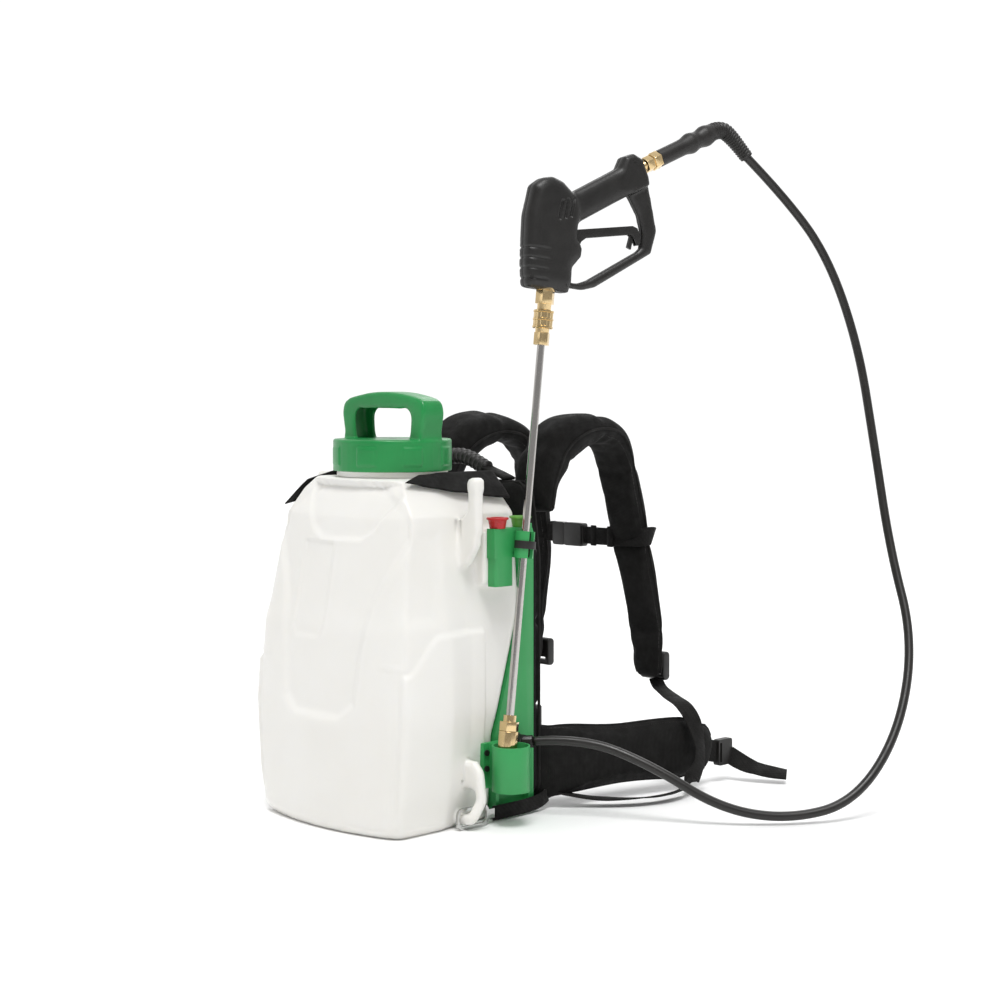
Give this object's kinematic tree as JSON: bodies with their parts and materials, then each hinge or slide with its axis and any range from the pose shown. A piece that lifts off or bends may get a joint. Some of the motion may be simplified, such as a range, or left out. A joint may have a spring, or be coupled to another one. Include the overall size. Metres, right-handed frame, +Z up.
{
  "type": "battery backpack sprayer",
  "caption": "Backpack sprayer: translucent tank with screw lid, powered base, padded harness, hose, trigger gun and stowed spray lance.",
  "frame": {"origin": "on the floor under the axis of the tank's lid", "axes": "+X to the wearer's right (the lance side), +Y to the wearer's front (the harness side), +Z up"},
  "size_m": [0.6981, 0.7161, 0.9088],
  "materials": {
    "hdpe": "translucent satin",
    "green_dark": "satin",
    "green_light": "satin",
    "black_plastic": "satin",
    "red_plastic": "gloss",
    "lime_plastic": "gloss",
    "rubber": "matt",
    "brass": "bright",
    "stainless": "polished",
    "zinc": "bright",
    "fabric": "woven",
    "webbing": "ribbed",
    "mesh": "fine mesh",
    "board": "lacquered"
  },
  "bodies": {
    "sprayer": {"tank": "hdpe", "filler_neck": "hdpe", "strap_anchors": "hdpe", "chassis": "green_light", "chassis_cover": "green_light", "pump": "black_plastic", "controller_board": "board", "tank_outlet": "black_plastic", "suction_hose": "rubber", "outlet_elbow": "black_plastic", "nozzle_cup": "green_light", "cup_screws": "zinc", "lance_clip": "green_light", "clip_band": "rubber", "hose": "rubber", "back_pad": "fabric", "shoulder_strap_right": "fabric", "shoulder_strap_left": "fabric", "chest_strap": "webbing", "chest_buckle_female": "black_plastic", "waist_belt_right": "fabric", "waist_belt_left": "fabric", "waist_buckle_male": "black_plastic", "waist_buckle_female": "black_plastic", "belt_tail": "webbing", "carry_grip": "rubber", "carry_tabs": "webbing", "top_flaps": "fabric", "adjusters": "black_plastic", "lower_webs": "webbing", "base_straps": "webbing", "snap_hooks": "zinc"},
    "gasket": {"lid_gasket": "rubber"},
    "lid": {"lid": "green_dark", "lid_vent": "rubber"},
    "strainer": {"strainer_basket": "black_plastic", "strainer_mesh": "mesh"},
    "battery": {"battery_pack": "black_plastic"},
    "battery_latch": {"battery_latch": "red_plastic"},
    "knob": {"power_knob": "black_plastic"},
    "red_tip": {"spray_tip_red": "red_plastic"},
    "green_tip": {"spray_tip_green": "lime_plastic"},
    "wand": {"nozzle_body": "brass", "lance_tube": "stainless", "lance_nut": "brass", "coupler_body": "brass", "gun_valve": "brass", "gun_shell_right": "black_plastic", "gun_shell_left": "black_plastic", "gun_screws": "zinc", "inlet_fitting": "brass", "swivel_nut": "brass", "bend_restrictor": "rubber"},
    "nozzle_nut": {"nozzle_nut": "brass"},
    "coupler_sleeve": {"coupler_sleeve": "brass"},
    "trigger": {"trigger": "black_plastic"},
    "trigger_lock": {"trigger_lock": "black_plastic"},
    "gate_right": {"snap_gate_right": "zinc"},
    "gate_left": {"snap_gate_left": "zinc"},
    "chest_release": {"chest_buckle_male": "black_plastic"}
  },
  "joints": [
    {"name": "lid_lift", "type": "slide", "parent": "sprayer", "child": "gasket", "axis": [0, 0, 1], "range_m": [0, 0.24]},
    {"name": "lid_turn", "type": "hinge", "parent": "gasket", "child": "lid", "pos_m": [0, 0, 0.464], "axis": [0, 0, 1], "range_deg": [0, 360]},
    {"name": "strainer_lift", "type": "slide", "parent": "sprayer", "child": "strainer", "axis": [0, 0, 1], "range_m": [0, 0.12]},
    {"name": "battery_slide", "type": "slide", "parent": "sprayer", "child": "battery", "axis": [-1, 0, 0], "range_m": [0, 0.11]},
    {"name": "battery_latch_press", "type": "slide", "parent": "battery", "child": "battery_latch", "axis": [1, 0, 0], "range_m": [0, 0.003], "stiffness_N_per_m": 300},
    {"name": "knob_turn", "type": "hinge", "parent": "sprayer", "child": "knob", "pos_m": [-0.131, 0.106, 0.14], "axis": [-1, 0, 0], "range_deg": [0, 270]},
    {"name": "red_tip_lift", "type": "slide", "parent": "sprayer", "child": "red_tip", "axis": [0, 0, 1], "range_m": [0, 0.04]},
    {"name": "green_tip_lift", "type": "slide", "parent": "sprayer", "child": "green_tip", "axis": [0, 0, 1], "range_m": [0, 0.04]},
    {"name": "wand_lift", "type": "slide", "parent": "sprayer", "child": "wand", "axis": [0, 0.1196, 0.9928], "range_m": [0, 0.12]},
    {"name": "nozzle_turn", "type": "hinge", "parent": "wand", "child": "nozzle_nut", "pos_m": [0.165, 0.04589, 0.10171], "axis": [0, 0.1196, 0.9928], "range_deg": [0, 360]},
    {"name": "sleeve_slide", "type": "slide", "parent": "wand", "child": "coupler_sleeve", "axis": [0, 0.1196, 0.9928], "range_m": [0, 0.006], "stiffness_N_per_m": 600},
    {"name": "trigger_pull", "type": "hinge", "parent": "wand", "child": "trigger", "pos_m": [0.17439, 0.15663, 0.73038], "axis": [0.9654, -0.2588, 0.0312], "range_deg": [0, 8], "stiffness_Nm_per_rad": 2.5},
    {"name": "trigger_lock_swing", "type": "hinge", "parent": "trigger", "child": "trigger_lock", "pos_m": [0.19733, 0.24481, 0.75199], "axis": [0.9654, -0.2588, 0.0312], "range_deg": [-40, 0]},
    {"name": "gate_right_swing", "type": "hinge", "parent": "sprayer", "child": "gate_right", "pos_m": [0.14, 0.028, 0.025], "axis": [1, 0, 0], "range_deg": [0, 30], "stiffness_Nm_per_rad": 0.05},
    {"name": "gate_left_swing", "type": "hinge", "parent": "sprayer", "child": "gate_left", "pos_m": [-0.14, 0.028, 0.025], "axis": [1, 0, 0], "range_deg": [0, 30], "stiffness_Nm_per_rad": 0.05},
    {"name": "chest_buckle_release", "type": "slide", "parent": "sprayer", "child": "chest_release", "axis": [-1, 0, 0], "range_m": [0, 0.009]}
  ],
  "couplings": [
    {"joint": "strainer_lift", "follows": "lid_lift", "ratio": 0.5}
  ]
}
